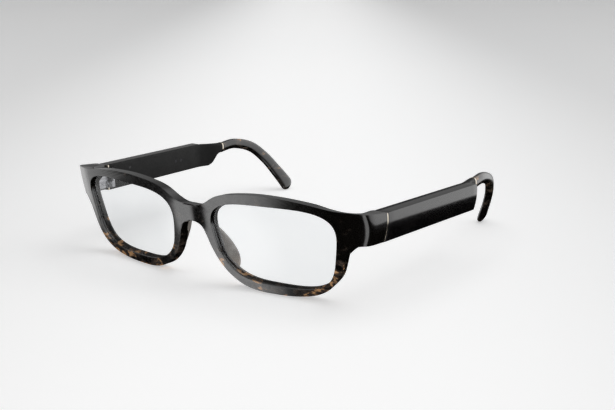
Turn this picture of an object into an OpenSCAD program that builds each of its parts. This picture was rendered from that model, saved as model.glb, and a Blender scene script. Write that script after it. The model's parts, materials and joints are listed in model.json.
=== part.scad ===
// Smart glasses: a full-rim front, two temple housings that hold the electronics, and ear tips.
// +X is the wearer's left, +Y runs back towards the ears and +Z is up.
// The glasses stand open on Z = 0, on their lower rims and on the ends of their tips.
// Side +1 is the wearer's left and side -1 the right, which is the mirror image.

/* [Front] */
// Radius of the front's curve, seen from above
front_r = 279; // [240:1:320]
// Backward lean of the lower rims
front_tilt = 11.4; // [9:0.1:13]
// Depth of the rims from front to back
rim_t = 4.7; // [4.2:0.1:5.2]
// Height of the line that the front leans about
lean_z = 35; // [34:0.1:36]
// Depth of the hollow in the bridge's front
bridge_hollow = 1.1; // [0.4:0.1:1.6]

/* [Lenses] */
// Height of a lens opening's centre
lens_z = 20.2; // [19.8:0.1:20.6]
// Distance of a lens opening's centre from the middle
lens_x = 36.2; // [35.8:0.1:36.6]
// Half the width of a lens opening
lens_half_w = 25.8; // [25:0.1:26.2]
// Half the height of a lens opening
lens_half_h = 16.6; // [16:0.1:16.8]
// Thickness of a lens
lens_t = 2; // [1.6:0.1:2.2]
// Depth of the lens groove into the rim
groove_d = 0.8; // [0.5:0.1:1]

/* [Temples] */
// Distance of the housing's outermost line from the middle, at the joint
joint_x = 75.2; // [75:0.1:75.6]
// Height of the housing's top edge, at the joint
joint_z = 35; // [34.8:0.1:35.2]
// Distance of the joint behind the front
joint_back = 25.5; // [25:0.1:26]
// Outward splay of an open temple
splay = 3.57; // [3:0.01:4]
// Downward pitch of a temple
pitch = 2.04; // [1.8:0.01:2.2]
// Height of the housing
housing_h = 11.4; // [11.2:0.1:11.6]
// Width of the housing
housing_w = 6.6; // [6.4:0.1:6.8]
// Length of the outer shell
shell_l = 69; // [68.6:0.1:69.4]
// Distance of the metal end ring behind the joint
ring_y = 81.8; // [81.4:0.1:82.2]

/* [Hinges] */
// Radius of a hinge knuckle
knuckle_r = 1.3; // [1.1:0.05:1.4]
// Radius of a hinge pin
pin_r = 0.6; // [0.5:0.05:0.7]
// Height of a hinge
hinge_h = 8.4; // [7.8:0.1:8.7]
// Gap of the butt joint between the trim plate and the housing
joint_gap = 0.12; // [0.1:0.01:0.2]

/* [Buttons] */
// Radius of the action button
button_r = 1.25; // [1:0.05:1.3]
// Length of the volume rocker
rocker_l = 9; // [7:0.1:9.4]

/* [Hidden] */
$fn = 96;

// Y of the front's foremost line, which puts the origin under the middle of the length
front_y = -76.4;
// Slack that keeps two pieces of one body from sharing volume
slack = 0.03;

// Housing section: walls, the plane between shell and cover, and the crest of the outer face
wall = 1;
side_wall = 1.7;
split_x = -4.75;
cover_wall = 0.9;
crest_r = 25;
crest_z = -3.8;
cavity_y1 = 10.6;
cavity_y2 = 67.4;

// Trim plate and hinge: the pin stands just inside the housing's inner face
plate_t = 0.7;
pin_x = -(housing_w + 1.03);
pin_y = 0.23;
hinge_z = 25.2;
knuckle_gap = 0.06;
knuckle_h = (hinge_h - 2 * knuckle_gap) / 3;
rear_leaf_x = 1.88;
rear_leaf_t = 1;
front_leaf_x = 0.75;
front_leaf_t = 1.2;
front_leaf_l = 8.3;

// Underside of the housing: buttons, microphone port and sound slots
floor_z = -housing_h + wall;
under_x = -2.9;
button_y = 20;
rocker_y = 29;
button_stand = 0.4;
slot_ys = [14.4, 62.6];
slot_l = 6;
slot_w = 1.7;
mic_y = 37.8;

// End ring, tip and core wire
ring_x = -9.2;
ring_z = -3;
ring_t = 0.9;
neck_end = ring_y - 0.4;
neck_w = 3.5;
neck_h = 5;
wire_r = 0.6;
wire_start_y = 79;

// Front view outline of one half of the front, from the bridge's top round to its underside
half_top = [
    [-4, 32.6], [0, 32.4], [4, 32.6], [8.2, 34.5], [13.5, 37.7], [20, 39.5], [31, 40.6],
    [42, 40.4], [52, 39.4], [62, 37.9], [71, 37.05], [80, 36.6]
];
half_low = [
    [76, 24.6], [71, 24.3], [68, 23.4], [65.8, 20.5], [64.4, 16.5], [62.9, 12.3], [60.3, 7.8],
    [56.5, 4.3],
    [51, 1.8], [43, 0.4], [34, 0], [27, 0.3], [21, 1.8], [15.6, 5.2], [11.3, 10], [8.4, 15.5],
    [6.4, 21], [4.4, 24.3], [0, 25.3], [-4.4, 24.3]
];

// Plan of an end piece, in the plane across the leaning front
wrap_line = [[62, 6.9], [65, 8], [68, 9.6], [72, 11.5], [73.9, 12.6], [75, 14.2]];
plan_rear = [[69.4, 18], [68.6, 15.6], [66.4, 13.5], [62, 12.3], [60, 11.3]];

// Centre line of an ear tip, in the temple's own frame, with one guide point at each end
tip_line = [
    [-8.6, 76, -3.2], [ring_x, neck_end + ring_t, ring_z], [-10.4, 92.5, -2.3],
    [-12.9, 104.6, -5.4], [-16.3, 113, -12], [-20.1, 118.7, -19.6], [-24.1, 123.2, -27.2],
    [-27, 126.8, -35]
];
tip_steps = 5;

// ---- curves ----
// A point of the smooth curve through b and c, a fraction t of the way from b to c
function between(a, b, c, d, t) =
    (2 * b + (c - a) * t + (2 * a - 5 * b + 4 * c - d) * t * t
        + (3 * b - a - 3 * c + d) * t * t * t) / 2;

// The smooth curve through all points but the first and last, which only guide its ends
function smooth(pts, steps) = [
    for (i = [1:len(pts) - 3], k = [0:steps - 1])
        between(pts[i - 1], pts[i], pts[i + 1], pts[i + 2], k / steps),
    pts[len(pts) - 2]
];

function unit(v) = v / norm(v);
function sharpen(c, power) = sign(c) * pow(abs(c), power);
function reversed(list) = [for (i = [len(list) - 1:-1:0]) list[i]];
function mirrored(pts) = [for (p = reversed(pts)) [-p[0], p[1]]];

// Outline of a lens opening in the front view: a rounded oblong that narrows towards its foot
function opening(grow) = [
    for (i = [0:95])
        let (
            a = 360 * i / 96,
            power = 2 / (3.32 + 0.32 * cos(a) + 0.08 * sin(a) - 0.1 * sin(2 * a)),
            u = sharpen(cos(a), power),
            v = sharpen(sin(a), power),
            lean = v * (2.6 * (1 + u) - 3 * (1 - u)) / 2,
            lift = u * (0.67 * (1 + v) - 0.17 * (1 - v)) / 2 - 0.35 * (1 - u * u) * (1 + v) / 2
        )
        [
            lens_x + (lens_half_w + grow) * u + lean,
            lens_z + (lens_half_h + grow) * v + lift
        ]
];

// ---- placing ----
module on_side(side) {
    if (side > 0) children();
    else mirror([1, 0, 0]) children();
}

// The leaning front's frame: X across, Y back through the rim, Z up along the front
module in_front() translate([0, front_y, lean_z]) rotate([front_tilt, 0, 0]) children();

// A temple's frame: origin on the joint at the housing's top outer line, Y back along it
module in_temple(side)
    on_side(side)
        translate([joint_x, front_y + joint_back, joint_z]) rotate([-pitch, 0, -splay])
            children();

// A hinge's frame: origin at the foot of its upright pin
module in_hinge(side)
    on_side(side)
        translate([joint_x, front_y + joint_back, hinge_z]) rotate([0, 0, -splay])
            translate([pin_x, pin_y, 0]) children();

module box(low, high) translate(low) cube(high - low);

// A flat outline of the front view, run back level through the whole front
module run_back()
    translate([0, front_y + 30, 0]) rotate([90, 0, 0]) linear_extrude(height = 39) children();

// A flat outline of a side view, run across from x1 to x2
module run_across(x1, x2)
    translate([x1, 0, 0]) rotate([90, 0, 90]) linear_extrude(height = x2 - x1) children();

// The curved sheet between two depths behind the front surface
module sheet(d1, d2) translate([0, front_r, -50]) difference() {
    cylinder(r = front_r - d1, h = 80, $fn = 360);
    translate([0, 0, -1]) cylinder(r = front_r - d2, h = 82, $fn = 360);
}

// The full round of the housing's outer face, along a temple
module crest() translate([-crest_r, -40, crest_z]) rotate([-90, 0, 0])
    cylinder(r = crest_r, h = 140, $fn = 360);

// A stretch of the housing's outer form
module housing(x1, x2, y1, y2) intersection() {
    box([x1, y1, -housing_h], [x2, y2, 0]);
    crest();
}

// A solid lofted through rings of points, closed at both ends
module loft(rings) {
    m = len(rings[0]);
    last = len(rings) - 1;
    polyhedron(
        points = [for (ring = rings) each ring],
        faces = [
            [for (j = [0:m - 1]) j],
            for (i = [0:last - 1], j = [0:m - 1])
                let (a = i * m + j, b = i * m + (j + 1) % m)
                [a, a + m, b + m, b],
            [for (j = [m - 1:-1:0]) last * m + j]
        ],
        convexity = 6
    );
}

// A ring of m points about c, square to the run dir: w across, h high, round at power 1
function ring_at(c, dir, w, h, power, m) =
    let (across = unit([1, 0, 0] - dir[0] * dir), up = cross(across, dir)) [
        for (j = [0:m - 1])
            c + across * w / 2 * sharpen(cos(360 * j / m), power)
              + up * h / 2 * sharpen(sin(360 * j / m), power)
    ];

tip_path = smooth(tip_line, tip_steps);
tip_last = len(tip_path) - 1;
function tip_dir(i) = i == 0
    ? [0, 1, 0]
    : unit(tip_path[min(i + 1, tip_last)] - tip_path[i - 1]);
tip_end_dir = unit(tip_line[7] - tip_line[5]);
function tip_w(i) = neck_w - 0.2 * i / tip_last;
function tip_h(i) = neck_h + 3.5 * pow(i / tip_last, 2.2);

// ---- front ----
module end_piece(side) on_side(side) intersection() {
    in_front() translate([0, 0, -30]) linear_extrude(height = 60)
        polygon(concat([[60, 6.4]], wrap_line, [[75.4, 34], [69.4, 34]], plan_rear));
    run_across(55, 80) polygon([
        for (p = [[4, 38.2], [12, 36.9], [26, 35], [26, 23.4], [20, 23.8], [14, 24.5], [4, 24.5]])
            [p[0] + front_y, p[1]]
    ]);
    in_temple(1) box([-30, -40, -30], [10, -plate_t - joint_gap, 30]);
    in_temple(1) crest();
    in_hinge(1) box([front_leaf_x + front_leaf_t, -12, -30], [30, 12, 30]);
}

// The flared root of an end piece, which joins it to the rim's back
module end_root(side) on_side(side) intersection() {
    in_front() translate([0, 0, -30]) linear_extrude(height = 60)
        polygon(concat([[60, 6.4], [70, 10.5]], plan_rear));
    run_across(55, 70) polygon([
        for (p = [[4, 38.2], [20, 35.8], [20, 23.8], [14, 24.5], [4, 24.5]])
            [p[0] + front_y, p[1]]
    ]);
    in_hinge(1) box([-20, -40, -30], [30, -9, 30]);
}

module front_frame() color("#1b1310") difference() {
    union() {
        intersection() {
            in_front() sheet(0, rim_t);
            run_back() polygon(concat(
                smooth(half_top, 4), smooth(half_low, 4),
                mirrored(smooth(half_low, 4)), mirrored(smooth(half_top, 4))
            ));
        }
        for (side = [1, -1]) {
            end_piece(side);
            end_root(side);
        }
    }
    for (side = [1, -1]) {
        on_side(side) {
            run_back() polygon(opening(0));
            intersection() {
                in_front() sheet(rim_t / 2 - lens_t / 2 - slack, rim_t / 2 + lens_t / 2 + slack);
                run_back() polygon(opening(groove_d));
            }
            in_front() translate([0, 0, -50]) linear_extrude(height = 80)
                polygon(concat([[62, -5]], wrap_line, [[80, 14.2], [80, -5]]));
        }
        front_screw_places(side) {
            cylinder(r = 0.5, h = 3.2);
        }
    }
    in_front() translate([0, bridge_hollow - 11, -50]) cylinder(r = 11, h = 80);
}

module lens(side) color("#dfe6ea", 0.35) on_side(side) intersection() {
    in_front() sheet(rim_t / 2 - lens_t / 2, rim_t / 2 + lens_t / 2);
    run_back() polygon(opening(groove_d - 0.08));
}

// A fin behind the nasal rim that leans with it and flares out towards the back
module nose_pad(side) color("#2a201b") on_side(side) in_front() intersection() {
    translate([9.4, rim_t, -19.4]) rotate([0, -29, 0]) rotate([0, 0, -20])
        run_across(-1.3, 1.3) polygon(smooth([
            [-6, 11], [-2, 10.2], [0.3, 9.2], [1.9, 6.8], [3.1, 3.4], [4, -0.6], [4.4, -4.6],
            [4.1, -8.2], [2.8, -11], [0.4, -13], [-2, -13.8], [-6, -14.4]
        ], 3));
    translate([0, front_r, -50]) cylinder(r = front_r - rim_t - slack / 3, h = 80, $fn = 360);
}

module trim_plate(side) color("#c9b79a") difference() {
    in_temple(side) housing(-housing_w, 1, -plate_t - joint_gap + slack / 3, -joint_gap);
    in_hinge(side) translate([0, 0, -0.3]) cylinder(r = knuckle_r + 0.2, h = hinge_h + 0.6);
}

// ---- hinges ----
module knuckle(k) translate([0, 0, k * (knuckle_h + knuckle_gap)])
    cylinder(r = knuckle_r, h = knuckle_h);

// Screw places of the front leaf, pointing out into the end piece
module front_screw_places(side) in_hinge(side)
    for (z = [hinge_h / 4, hinge_h * 3 / 4])
        translate([front_leaf_x, -5.6, z]) rotate([0, 90, 0]) children();

// Screw places of the rear leaf, pointing out into the shell
module rear_screw_places(side) in_hinge(side)
    for (y = [4.2, 7.4])
        translate([rear_leaf_x, y, hinge_h / 2]) rotate([0, 90, 0]) children();

module leaf_screw(length) {
    cylinder(r = 0.5, h = length);
    cylinder(r = 0.85, h = 0.4);
}

module hinge_front(side) color("#b9bcc0") difference() {
    union() {
        difference() {
            in_hinge(side) box(
                [front_leaf_x, -front_leaf_l, 0],
                [front_leaf_x + front_leaf_t, 0, hinge_h]
            );
            in_temple(side) box([-20, -plate_t - joint_gap - slack, -20], [5, 5, 5]);
            in_hinge(side) translate([0, 0, knuckle_h - slack])
                cylinder(r = knuckle_r + 0.12, h = knuckle_h + 2 * (knuckle_gap + slack));
        }
        in_hinge(side) for (k = [0, 2]) {
            knuckle(k);
            translate([0, 0, k * (knuckle_h + knuckle_gap)]) linear_extrude(height = knuckle_h)
                polygon([
                    [-knuckle_r, 0], [-1.25, -1.3], [front_leaf_x + 0.3, -3.8],
                    [front_leaf_x + 0.1, -0.9], [0, 0]
                ]);
        }
    }
    in_hinge(side) {
        translate([0, 0, -1]) cylinder(r = pin_r, h = hinge_h + 2);
        translate([0, 0, hinge_h - 0.6]) cylinder(r = 0.95, h = 1);
    }
    front_screw_places(side) translate([0, 0, -1]) {
        cylinder(r = 0.5, h = 4);
        cylinder(r = 0.85, h = 1.4);
    }
}

module hinge_pin(side) color("#9a9da1") in_hinge(side) difference() {
    union() {
        cylinder(r = pin_r - 0.01, h = hinge_h - 0.1);
        translate([0, 0, hinge_h - 0.6]) cylinder(r = 0.93, h = 0.5);
    }
    box([-0.6, -0.12, hinge_h - 0.35], [0.6, 0.12, hinge_h]);
}

module front_leaf_screws() color("#9a9da1")
    for (side = [1, -1]) front_screw_places(side) leaf_screw(3);

module rear_leaf_form(grow) {
    box(
        [rear_leaf_x - grow, 2 - grow, 0.5 - grow],
        [rear_leaf_x + rear_leaf_t, 9 + grow, hinge_h - 0.5 + grow]
    );
    translate([0, 0, knuckle_h + knuckle_gap - grow])
        linear_extrude(height = knuckle_h + 2 * grow) polygon([
            [-0.6 - grow, 1.1], [0.8, 0.2], [1.25, 0.35 - grow], [2, 1.2 - grow],
            [rear_leaf_x + rear_leaf_t, 1.9], [rear_leaf_x + rear_leaf_t, 3.4],
            [rear_leaf_x - grow, 3.4], [1 - grow, 2 + grow]
        ]);
}

module hinge_rear(side) color("#b9bcc0") difference() {
    in_hinge(side) {
        rear_leaf_form(0);
        knuckle(1);
    }
    in_hinge(side) translate([0, 0, -1]) cylinder(r = pin_r + 0.03, h = hinge_h + 2);
    rear_screw_places(side) translate([0, 0, -1]) {
        cylinder(r = 0.5, h = 4);
        cylinder(r = 0.85, h = 1.4);
    }
}

module rear_leaf_screws(side) color("#9a9da1") rear_screw_places(side) leaf_screw(3.4);

// Room that the housing leaves round the knuckles, and the pocket of the rear leaf
module hinge_room(side) in_hinge(side) {
    translate([0, 0, -0.4]) cylinder(r = knuckle_r + 0.4, h = hinge_h + 0.8);
    rear_leaf_form(slack);
}

// ---- temples ----
module temple_shell(side) color("#101010") difference() {
    in_temple(side) difference() {
        housing(split_x, 1, 0, shell_l);
        box([split_x - 1, cavity_y1, floor_z], [-side_wall, cavity_y2, -wall]);
        // rounded lower corner at the rear end
        translate([split_x - 1, shell_l - 1, 1 - housing_h]) rotate([0, 90, 0]) difference() {
            box([0, 0, 0], [2, 2, 8]);
            translate([0, 0, -1]) cylinder(r = 1, h = 10);
        }
        for (y = slot_ys) {
            box(
                [under_x - slot_w / 2, y - slot_l / 2, -housing_h - 1],
                [under_x + slot_w / 2, y + slot_l / 2, floor_z + 1]
            );
            mesh_plate(y, slack);
        }
        translate([under_x, mic_y, -housing_h - 1]) cylinder(r = 0.4, h = 3);
        if (side < 0) {
            translate([under_x, button_y, -housing_h - 1]) cylinder(r = button_r + 0.1, h = 3);
            box(
                [under_x - 1.3, rocker_y - rocker_l / 2 - 0.2, -housing_h - 1],
                [under_x + 1.3, rocker_y + rocker_l / 2 + 0.2, floor_z + 1]
            );
            translate([under_x - 1.7, rocker_y, rocker_z]) rotate([0, 90, 0])
                cylinder(r = 0.35, h = 3.4);
        }
    }
    rear_screw_places(side) cylinder(r = 0.5, h = 3.5);
    hinge_room(side);
}

// Plan and side view of the cover, which runs on from the lid into the slim neck
cover_in = [
    [-6.6, 60], [-6.6, 66], [-7.2, 69.3], [-8.6, 73.5], [-10.2, 78], [-10.95, neck_end],
    [-11, 88]
];
cover_out = [
    [-4.2, 62], [-4.4, 68.8], [-5.1, 71.8], [-6.4, 75.6], [-7.2, 79], [-7.45, neck_end],
    [-7.4, 88]
];
neck_foot = [
    [88, -5.5], [neck_end, -5.5], [79.6, -5.75], [78, -6.8], [76.6, -8.6], [75.2, -10.3],
    [73, -11.3], [70, -11.4], [60, -11.4]
];
neck_top = [[50, 0], [66, 0], [74, -0.35], [neck_end, -0.5], [88, -0.3]];

module cover_form() intersection() {
    translate([0, 0, -20]) linear_extrude(height = 30) polygon(concat(
        [[split_x, 0], [-housing_w, 0]], smooth(cover_in, 4),
        reversed(smooth(cover_out, 4)),
        [[split_x, shell_l + slack]]
    ));
    run_across(-20, 5) polygon(concat(
        [[0, 0]], smooth(neck_top, 4), smooth(neck_foot, 4), [[0, -housing_h]]
    ));
}

module temple_cover(side) color("#171615") difference() {
    in_temple(side) difference() {
        cover_form();
        box([split_x, -1, -20], [5, shell_l + slack, 5]);
        box([-housing_w + cover_wall, cavity_y1, floor_z], [split_x + 1, cavity_y2, -wall]);
        translate([ring_x, wire_start_y - slack, ring_z]) rotate([-90, 0, 0])
            cylinder(r = wire_r + slack, h = 10);
        contacts(slack / 3);
        if (side < 0) light_window(slack / 3);
    }
    hinge_room(side);
    rear_screw_places(side) translate([0, 0, -slack]) cylinder(r = 0.9, h = 2);
}

module end_ring(side) color("#cbbd9f") in_temple(side) difference() {
    translate([ring_x, neck_end + slack / 3, ring_z]) rotate([-90, 0, 0])
        linear_extrude(height = ring_t - slack / 3 * 2) polygon([
            for (j = [0:31])
                [
                    (neck_w / 2 + 0.1) * sharpen(cos(360 * j / 32), 0.7),
                    (neck_h / 2 + 0.1) * sharpen(sin(360 * j / 32), 0.7)
                ]
        ]);
    translate([ring_x, 80, ring_z]) rotate([-90, 0, 0]) cylinder(r = wire_r + slack, h = 10);
}

// Rings of the tip's skin or of its bore, at point i of the path
function tip_ring(i) = ring_at(tip_path[i], tip_dir(i), tip_w(i), tip_h(i), 0.8, 16);
function wire_ring(i, r) = ring_at(tip_path[i], tip_dir(i), 2 * r, 2 * r, 1, 16);

// The tip is lofted out of its blind bore and back over its skin to the rounded end
module ear_tip(side) color("#2a1c14") in_temple(side) loft(concat(
    [for (i = [tip_last - 3:-1:0]) wire_ring(i, wire_r + slack)],
    [for (i = [0:tip_last]) tip_ring(i)],
    [for (a = [20:20:80]) ring_at(
        tip_path[tip_last] + tip_end_dir * 3.3 * sin(a), tip_end_dir,
        tip_w(tip_last) * cos(a), tip_h(tip_last) * cos(a), 0.8, 16
    )]
));

// The core wire runs straight out of the neck, then along the tip
module core_wire(side) color("#a7a9ac") in_temple(side) loft(concat(
    [ring_at([ring_x, wire_start_y, ring_z], [0, 1, 0], 2 * wire_r, 2 * wire_r, 1, 16)],
    [for (i = [0:tip_last - 4]) wire_ring(i, wire_r)]
));

// ---- electronics, from the hinge end to the ear end ----
module speaker(y) difference() {
    box([-5.5, y - 3.7, -9.6], [-2.1, y + 3.7, -2.6]);
    translate([-6, y, -6.1]) rotate([0, 90, 0]) cylinder(r = 2.8, h = 0.9);
    translate([-2.5, y, -6.1]) rotate([0, 90, 0]) cylinder(r = 2.4, h = 1);
}

module speaker_front(side) color("#3a3a3c") in_temple(side) speaker(slot_ys[0]);
module speaker_rear(side) color("#3a3a3c") in_temple(side) speaker(slot_ys[1]);

module mesh_plate(y, grow) box(
    [under_x - slot_w / 2 - 0.3 - grow, y - slot_l / 2 - 0.3 - grow, 0.1 - housing_h],
    [under_x + slot_w / 2 + 0.3 + grow, y + slot_l / 2 + 0.3 + grow, 0.4 - housing_h + grow]
);

module speaker_mesh(side) color("#55565a") in_temple(side)
    for (y = slot_ys) mesh_plate(y, 0);

module circuit_board(side) color("#123c2a") in_temple(side) difference() {
    box([-3.2, 20.5, -7.4], [-2.4, 38.4, -1.4]);
    for (y = [21.6, 37.3]) translate([-4, y, -2.4]) rotate([0, 90, 0]) cylinder(r = 0.5, h = 3);
}

module shield_can(side) color("#c3c5c8") in_temple(side)
    box([-4.7, 24, -6.8], [-3.2 - slack / 3, 33, -2]);

module battery(side) color("#b8bcc2") in_temple(side) {
    box([-5.45, 40.4, -7.9], [-2.05, 57.4, -3.1]);
    for (z = [-7.9, -3.1]) translate([-3.75, 40.4, z]) rotate([-90, 0, 0])
        cylinder(r = 1.7, h = 17);
}

module flex_cable(side) color("#b06a1e") in_temple(side)
    box([-1.98, 13, -6.4], [-1.8, 64, -4.6]);

module microphone(side) color("#c9a94e") in_temple(side) difference() {
    box([under_x - 1.1, mic_y - 1.7, floor_z + slack], [under_x + 1.1, mic_y + 1.7, -8.9]);
    translate([under_x, mic_y, -11]) cylinder(r = 0.3, h = 1.6);
}

module contacts(grow) for (y = [48, 52]) translate([-housing_w, y, -5.5]) rotate([0, 90, 0])
    translate([0, 0, -grow]) cylinder(r = 0.9 + grow, h = cover_wall + 0.2 + grow);

module charge_contacts(side) color("#d4af56") in_temple(side) contacts(0);

// ---- controls of the right temple ----
rocker_z = -housing_h + 0.55;

module switch_board() color("#123c2a") in_temple(-1) {
    box([-4.3, 18.3, -8.4], [-1.85, 34, -8]);
    for (y = [button_y, rocker_y - 2.5, rocker_y + 2.5])
        translate([under_x, y, -9.1]) cylinder(r = 1, h = 0.8);
}

module light_window(grow) translate([-housing_w, 14, -3.2]) rotate([0, 90, 0])
    translate([0, 0, -grow]) cylinder(r = 0.6 + grow, h = cover_wall + grow);

module light_pipe() color("#f2f2ee") in_temple(-1) light_window(0);

module action_button() color("#1a1a1a") in_temple(-1)
    translate([under_x, button_y, -housing_h - button_stand]) {
        cylinder(r = button_r, h = 1.9);
        // retaining collar, flat on the side of the shell's wall
        intersection() {
            translate([0, 0, wall + button_stand + 0.05])
                cylinder(r = button_r + 0.35, h = 0.45);
            box([-3, -3, 0], [-side_wall - under_x - 0.05, 3, 2]);
        }
    }

module volume_rocker() color("#1a1a1a") in_temple(-1) translate([under_x, rocker_y, rocker_z]) {
    box([-1.15, -rocker_l / 2, -0.95], [1.15, rocker_l / 2, 0.55]);
    translate([-1.65, 0, 0]) rotate([0, 90, 0]) cylinder(r = 0.3, h = 3.3);
    for (y = [-2.5, 2.5]) translate([0, y, 0.5]) cylinder(r = 0.5, h = 0.55);
}

front_frame();
lens(1);  // lens_left
lens(-1);  // lens_right
nose_pad(1);  // nose_pad_left
nose_pad(-1);  // nose_pad_right
trim_plate(1);  // trim_plate_left
trim_plate(-1);  // trim_plate_right
hinge_front(1);  // hinge_front_left
hinge_front(-1);  // hinge_front_right
hinge_pin(1);  // hinge_pin_left
hinge_pin(-1);  // hinge_pin_right
front_leaf_screws();
temple_shell(1);  // temple_shell_left
temple_cover(1);  // temple_cover_left
hinge_rear(1);  // hinge_rear_left
rear_leaf_screws(1);  // rear_leaf_screws_left
end_ring(1);  // end_ring_left
ear_tip(1);  // ear_tip_left
core_wire(1);  // core_wire_left
battery(1);  // battery_left
circuit_board(1);  // circuit_board_left
shield_can(1);  // shield_can_left
speaker_front(1);  // speaker_front_left
speaker_rear(1);  // speaker_rear_left
speaker_mesh(1);  // speaker_mesh_left
flex_cable(1);  // flex_cable_left
microphone(1);  // microphone_left
charge_contacts(1);  // charge_contacts_left
temple_shell(-1);  // temple_shell_right
temple_cover(-1);  // temple_cover_right
hinge_rear(-1);  // hinge_rear_right
rear_leaf_screws(-1);  // rear_leaf_screws_right
end_ring(-1);  // end_ring_right
ear_tip(-1);  // ear_tip_right
core_wire(-1);  // core_wire_right
battery(-1);  // battery_right
circuit_board(-1);  // circuit_board_right
shield_can(-1);  // shield_can_right
speaker_front(-1);  // speaker_front_right
speaker_rear(-1);  // speaker_rear_right
speaker_mesh(-1);  // speaker_mesh_right
flex_cable(-1);  // flex_cable_right
microphone(-1);  // microphone_right
charge_contacts(-1);  // charge_contacts_right
switch_board();  // switch_board_right
light_pipe();  // light_pipe_right
action_button();
volume_rocker();
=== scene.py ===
"""Looks for the smart glasses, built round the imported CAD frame.

Shapes are worked out in millimetres, in the same frames as the design, and turned to metres
when a mesh is made. +X is the wearer's left, +Y runs back to the ears and +Z is up.
"""

import json
import math

import bmesh
import bpy
from mathutils import Matrix, Vector


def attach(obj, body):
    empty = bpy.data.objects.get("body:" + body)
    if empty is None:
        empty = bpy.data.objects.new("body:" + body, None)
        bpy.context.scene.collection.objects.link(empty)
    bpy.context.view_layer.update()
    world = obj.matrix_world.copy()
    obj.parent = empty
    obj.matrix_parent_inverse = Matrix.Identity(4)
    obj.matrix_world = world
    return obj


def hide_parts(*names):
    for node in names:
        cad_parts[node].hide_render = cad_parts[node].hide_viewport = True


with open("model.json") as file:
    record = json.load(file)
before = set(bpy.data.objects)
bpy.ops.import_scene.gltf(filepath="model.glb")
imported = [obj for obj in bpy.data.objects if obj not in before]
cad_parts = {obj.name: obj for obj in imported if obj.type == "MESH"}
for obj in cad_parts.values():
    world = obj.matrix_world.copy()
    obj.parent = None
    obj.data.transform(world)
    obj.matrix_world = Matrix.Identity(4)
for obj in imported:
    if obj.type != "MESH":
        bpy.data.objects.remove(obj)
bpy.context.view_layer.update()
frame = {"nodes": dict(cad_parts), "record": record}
nodes = frame["nodes"]
MM = 0.001
SIDES = {"left": 1, "right": -1}

# ---- sizes that the looks share with the design, in millimetres and degrees ----
FRONT_Y = -76.4
FRONT_R = 279.0
TILT = math.radians(11.4)
LEAN_Z = 35.0
RIM_T = 4.7
LENS_X, LENS_Z = 36.2, 20.2
LENS_HALF_W, LENS_HALF_H = 25.8, 16.6
GROOVE_D = 0.8
JOINT = Vector((75.2, FRONT_Y + 25.5, 35.0))
SPLAY, PITCH = math.radians(3.57), math.radians(2.04)
HOUSING_W, HOUSING_H = 6.6, 11.4
SHELL_L = 69.0
SPLIT_X = -4.75
CREST_R, CREST_Z = 25.0, -3.8
PLATE_T, JOINT_GAP = 0.7, 0.12
NECK_END, RING_X, RING_Z, RING_T = 81.4, -9.2, -3.0, 0.9
NECK_W, NECK_H = 3.5, 5.0
PIN_X, PIN_Y, HINGE_Z, HINGE_H = -7.63, 0.23, 25.2, 8.4
KNUCKLE_R = 1.3
UNDER_X, MIC_Y, BUTTON_Y, ROCKER_Y = -2.9, 37.8, 20.0, 29.0
SLOT_YS, SLOT_L, SLOT_W, SLOT_LEDGE = (14.4, 62.6), 6.0, 1.7, 0.33
CAVITY_Y1, CAVITY_Y2, CAVITY_X, WALL = 10.6, 67.4, -1.7, 1.0
MIC_R, BUTTON_HOLE_R, ROCKER_HALF_W, ROCKER_HALF_L = 0.4, 1.35, 1.3, 4.7
CONTACT_YS, CONTACT_Z, CONTACT_HOLE_R = (48, 52), -5.5, 0.92
LIGHT_Y, LIGHT_Z, LIGHT_HOLE_R = 14, -3.2, 0.61
WIRE_HOLE, TIP_LESS, TIP_SPREAD, TIP_CAP = 1.26, 0.2, 3.5, 3.3
LENS_DEPTHS, LENS_SAG = (1.35, 3.35), 0.85
PAD_X, PAD_DROP, PAD_HALF_T = 9.4, -19.4, 1.3
PAD_LEAN, PAD_FLARE = math.radians(-29), math.radians(-20)

HALF_TOP = [
    (-4, 32.6), (0, 32.4), (4, 32.6), (8.2, 34.5), (13.5, 37.7), (20, 39.5), (31, 40.6),
    (42, 40.4), (52, 39.4), (62, 37.9), (71, 37.05), (80, 36.6),
]
HALF_LOW = [
    (76, 24.6), (71, 24.3), (68, 23.4), (65.8, 20.5), (64.4, 16.5), (62.9, 12.3), (60.3, 7.8),
    (56.5, 4.3), (51, 1.8), (43, 0.4), (34, 0), (27, 0.3), (21, 1.8), (15.6, 5.2), (11.3, 10),
    (8.4, 15.5), (6.4, 21), (4.4, 24.3), (0, 25.3), (-4.4, 24.3),
]
TIP_LINE = [
    (-8.6, 76, -3.2), (RING_X, NECK_END + RING_T, RING_Z), (-10.4, 92.5, -2.3),
    (-12.9, 104.6, -5.4), (-16.3, 113, -12), (-20.1, 118.7, -19.6), (-24.1, 123.2, -27.2),
    (-27, 126.8, -35),
]


# ---- curves ----
def between(a, b, c, d, t):
    """A point of the smooth curve through b and c, a fraction t of the way."""
    return tuple(
        (2 * q + (r - p) * t + (2 * p - 5 * q + 4 * r - s) * t * t
         + (3 * q - p - 3 * r + s) * t ** 3) / 2
        for p, q, r, s in zip(a, b, c, d)
    )


def smooth(pts, steps):
    """The smooth curve through all points but the first and last, which guide its ends."""
    out = [
        between(pts[i - 1], pts[i], pts[i + 1], pts[i + 2], k / steps)
        for i in range(1, len(pts) - 2)
        for k in range(steps)
    ]
    return out + [tuple(pts[-2])]


def spaced(pts, count):
    """The polyline pts, cut again into count equal steps: count + 1 points."""
    far = [0.0]
    for a, b in zip(pts, pts[1:]):
        far.append(far[-1] + math.dist(a, b))
    out, j = [], 0
    for i in range(count + 1):
        want = far[-1] * i / count
        while j < len(pts) - 2 and far[j + 1] < want:
            j += 1
        span = far[j + 1] - far[j]
        t = (want - far[j]) / span if span else 0
        out.append(tuple(p + (q - p) * t for p, q in zip(pts[j], pts[j + 1])))
    return out


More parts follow.
